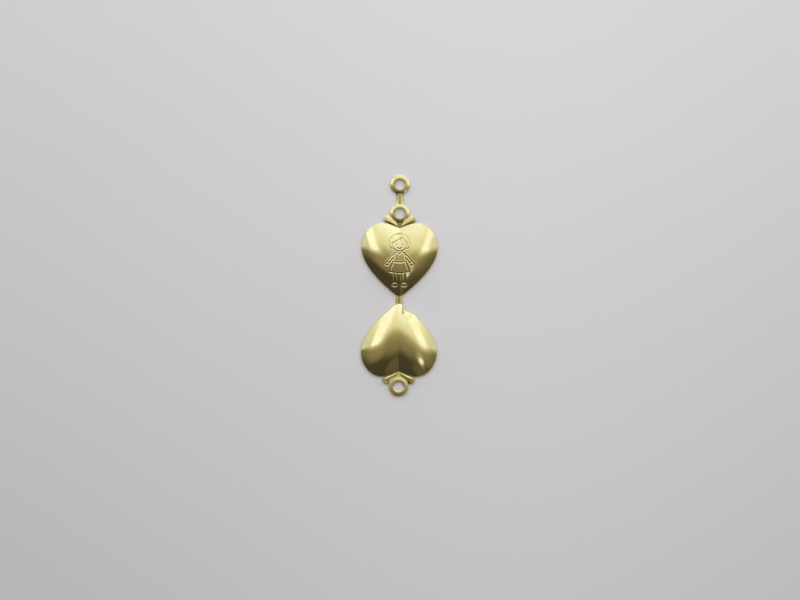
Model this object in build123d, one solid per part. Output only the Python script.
from build123d import *
import math
import os

# A stamped brass heart charm, open and flat. Two domed heart shells are joined tip to tip by a
# narrow bridge. An eyelet sits in each heart's cleft, held by a web and two leaf ridges, and a
# closing ring stands on a stem above the front eyelet. The bridge and the stem fold by half a
# turn, so that the rear heart closes under the front one and the closing ring locks the eyelets.
# Origin: centre of the front eyelet, on the plane that the open charm lies on.
# X runs across the hearts, Y from the rear heart towards the closing ring, Z up. Millimetres.

# Sheet and folds
sheet = 0.40            # thickness of the blank, at the rims and the fold strips
fold_gap = 0.10         # clear space between layers when the charm is folded shut
crease_depth = 0.12     # depth of the crease under each fold line

# Heart outline, measured up from its rounded tip
heart_width = 15.0
heart_length = 14.45
widest_from_tip = 9.3
lobe_spacing = 6.6      # between the tops of the two lobes
cleft_depth = 1.05
cleft_slope = 20.0      # degrees, rise of the lobes at the cleft
cleft_pull = 0.95       # length of the curve handles on each side of the cleft
tip_radius = 1.2
tip_half_angle = 52.0   # degrees, between a flank and the centre line
flank_tip_pull = 4.4    # length of the flank's curve handle at the tip
flank_side_pull = 3.0   # length of the flank's curve handle at the widest point

# Dome
dome_height = 2.3       # from the open rim to the crown
crown_from_tip = 6.6
crown_tip_radius = 4.5  # how far the tip's ridge rounds out towards the crown
crown_widest = 11.5     # how far the widest point moves up towards the crown, from the tip
dome_fullness = 2.4     # power of the dome's profile: higher is flatter on top
wall = 0.40             # at the crown
rim_width = 0.50        # flat edge of the shell, at the widest point

# Eyelets and closing ring
bore_diameter = 2.0
ring_diameter = 3.8
ring_height = 0.55
ring_wall = 0.35        # straight part of the ring's sides, under its rounded crown
eyelet_above_lobes = 1.9
ring_pitch = 5.68       # front eyelet to closing ring

# Fold strips
strip_width = 1.35
strip_wall = 0.25       # straight part of a strip's sides, under its rounded crown
bridge_length = 1.45    # between the two heart tips
flare_radius = 1.00     # fillet between the stem and a ring

# Web and leaf ridges, measured from the eyelet's centre
web_height = 0.24
leaf_height = 0.52
leaf_round = 0.10
leaf_inner_radius = 0.20
leaf_inner_x = 0.78
leaf_inner_drop = 2.32
leaf_outer_radius = 0.50
leaf_outer_x = 2.66
leaf_outer_drop = 1.02

# Share of the full outline at each height of a dome, from the rim to the crown
dome_levels = (1.0, 0.93, 0.82, 0.66, 0.47, 0.28, 0.10)
round_handle = 4 / 3 * math.tan(math.pi / 8)  # curve handle of a quarter ellipse, as a share of its axis

# Places worked out from the sizes
tip_y = -(eyelet_above_lobes + heart_length)
bridge_fold_y = tip_y - bridge_length / 2
bridge_fold_z = -fold_gap / 2
stem_fold_y = ring_pitch / 2
stem_fold_z = -(ring_height + 2 * fold_gap) / 2
ring_radius = ring_diameter / 2
bore_radius = bore_diameter / 2
ring_middle = (ring_radius + bore_radius) / 2


def heart_face(spread, level, z):
    """Heart outline shrunk about the crown, its tip and its widest point as suit that level of the dome."""
    angle = math.radians(tip_half_angle)
    slope = math.radians(cleft_slope)
    corner = tip_radius * (1 - 1 / math.sin(angle))
    tip = tip_radius + (crown_tip_radius - tip_radius) * (1 - level)
    widest = widest_from_tip + (crown_widest - widest_from_tip) * (1 - level)
    flank_x, flank_y = math.sin(angle), math.cos(angle)
    tangent = tip / math.tan(angle)
    half_width = heart_width / 2
    lobe_x = lobe_spacing / 2
    shoulder_x = half_width - lobe_x
    shoulder_y = heart_length - widest
    cleft_y = heart_length - cleft_depth

    flank = [
        (tangent * flank_x, corner + tangent * flank_y),
        ((tangent + flank_tip_pull) * flank_x, corner + (tangent + flank_tip_pull) * flank_y),
        (half_width, widest - flank_side_pull),
        (half_width, widest),
    ]
    shoulder = [
        (half_width, widest),
        (half_width, widest + round_handle * shoulder_y),
        (lobe_x + round_handle * shoulder_x, heart_length),
        (lobe_x, heart_length),
    ]
    cleft = [
        (lobe_x, heart_length),
        (lobe_x - cleft_pull, heart_length),
        (cleft_pull * math.cos(slope), cleft_y + cleft_pull * math.sin(slope)),
        (0, cleft_y),
    ]

    def place(point, side=1):
        x, y = point
        return (side * spread * x, tip_y + crown_from_tip + spread * (y - crown_from_tip))

    right = [Bezier(*[place(p) for p in curve]) for curve in (flank, shoulder, cleft)]
    left = [Bezier(*[place(p, -1) for p in reversed(curve)]) for curve in (cleft, shoulder, flank)]
    lowest = (0, corner + tip / math.sin(angle) - tip)
    nose = ThreePointArc(place(flank[0], -1), place(lowest), place(flank[0]))
    return Pos(0, 0, z) * make_face([nose, *right, *left])


def dome(spread, height):
    """Solid dome on a straight rim, its whole outline shrunk by spread."""
    rise = height - sheet
    sections = [
        heart_face(spread * level, level, sheet + rise * (1 - level**dome_fullness))
        for level in dome_levels
    ]
    return heart_block(sheet, spread) + loft(sections)


def heart_block(height, spread=1.0):
    """Straight-sided block of the heart's outline, for a rim and for cutting what meets it."""
    return extrude(heart_face(spread, 1.0, 0), height)


def shell():
    """One heart: a domed shell, open below, that rests on its flat rim."""
    inner_spread = 1 - 2 * rim_width / heart_width
    return dome(1.0, dome_height) - dome(inner_spread, dome_height - wall)


def ring_section():
    low_inner, low_outer = (bore_radius, 0), (ring_radius, 0)
    top_inner, top_outer = (bore_radius, ring_wall), (ring_radius, ring_wall)
    crown = ThreePointArc(top_outer, (ring_middle, ring_height), top_inner)
    sides = [Line(low_inner, low_outer), Line(low_outer, top_outer), Line(top_inner, low_inner)]
    return Plane.XZ * make_face([*sides, crown])


def ring():
    """Eyelet ring with a rounded crown, about the origin."""
    return revolve(ring_section(), Axis.Z)


def ring_block():
    """The space that a ring and its bore take up, for cutting what meets the ring."""
    return extrude(Circle(ring_radius), ring_height)


def strip(length):
    """Strip with a rounded crown, from the origin along Y."""
    half = strip_width / 2
    low_left, low_right = (-half, 0), (half, 0)
    top_left, top_right = (-half, strip_wall), (half, strip_wall)
    crown = ThreePointArc(top_right, (0, sheet), top_left)
    sides = [Line(low_left, low_right), Line(low_right, top_right), Line(top_left, low_left)]
    section = Plane.XZ * make_face([*sides, crown])
    return extrude(section, length, dir=(0, 1, 0))


def crease(y, z):
    """Round groove along X, about a fold axis, that thins the strip from below."""
    groove = Cylinder(crease_depth - z, 2 * strip_width, rotation=(0, 90, 0))
    return Pos(0, y, z) * groove


def stem_half():
    """Stem from the front eyelet to the stem's fold line, flared where it leaves the eyelet."""
    flare_x = strip_width / 2 + flare_radius
    flare_y = math.sqrt((ring_radius + flare_radius) ** 2 - flare_x**2)
    wedge = make_face(Polyline((0, 0), (flare_x, flare_y), (-flare_x, flare_y), close=True))
    for side in (-1, 1):
        wedge -= Pos(side * flare_x, flare_y) * Circle(flare_radius)
    flare = extrude(wedge, strip_wall)
    return strip(stem_fold_y) + flare - ring_block() - crease(stem_fold_y, stem_fold_z)


def bridge_half():
    """Bridge from the front heart's tip to the bridge's fold line."""
    bar = Pos(0, bridge_fold_y, 0) * strip(bridge_length / 2 + tip_radius)
    return bar - heart_block(sheet) - crease(bridge_fold_y, bridge_fold_z)


def leaf_plan(side):
    inner = Pos(side * leaf_inner_x, -leaf_inner_drop) * Circle(leaf_inner_radius)
    outer = Pos(side * leaf_outer_x, -leaf_outer_drop) * Circle(leaf_outer_radius)
    return make_hull([*inner.edges(), *outer.edges()])


def web():
    """Flat web that fills the space between the eyelet and the heart's cleft and lobes."""
    foot = Pos(0, tip_y + crown_from_tip) * Circle(leaf_inner_radius)
    plan = make_hull([*leaf_plan(-1).edges(), *leaf_plan(1).edges(), *foot.edges()])
    return extrude(plan, web_height) - heart_block(web_height) - ring_block()


def leaf(side):
    """Tapered leaf ridge on the web, along the top of one lobe."""
    ridge = extrude(Pos(0, 0, web_height) * leaf_plan(side), leaf_height - web_height)
    ridge = fillet(ridge.edges().group_by(Axis.Z)[-1], leaf_round)
    return ridge - heart_block(leaf_height) - ring_block()


def to_rear(piece):
    """The same piece on the other side of the bridge's fold line."""
    return mirror(piece, about=Plane((0, bridge_fold_y, 0), z_dir=(0, 1, 0)))


def to_tab(piece):
    """The same piece on the other side of the stem's fold line."""
    return mirror(piece, about=Plane((0, stem_fold_y, 0), z_dir=(0, 1, 0)))


front = {
    "shell": shell(),
    "eyelet": ring(),
    "web": web(),
    "left_leaf": leaf(-1),
    "right_leaf": leaf(1),
    "bridge": bridge_half(),
}
parts = {}
for name, piece in front.items():
    parts["front_" + name] = piece
    parts["rear_" + name] = to_rear(piece)
parts["lower_stem"] = stem_half()
parts["upper_stem"] = to_tab(parts["lower_stem"])
parts["closing_ring"] = to_tab(parts["front_eyelet"])

os.makedirs("parts", exist_ok=True)
for name, piece in parts.items():
    export_step(piece, f"parts/{name}.step")
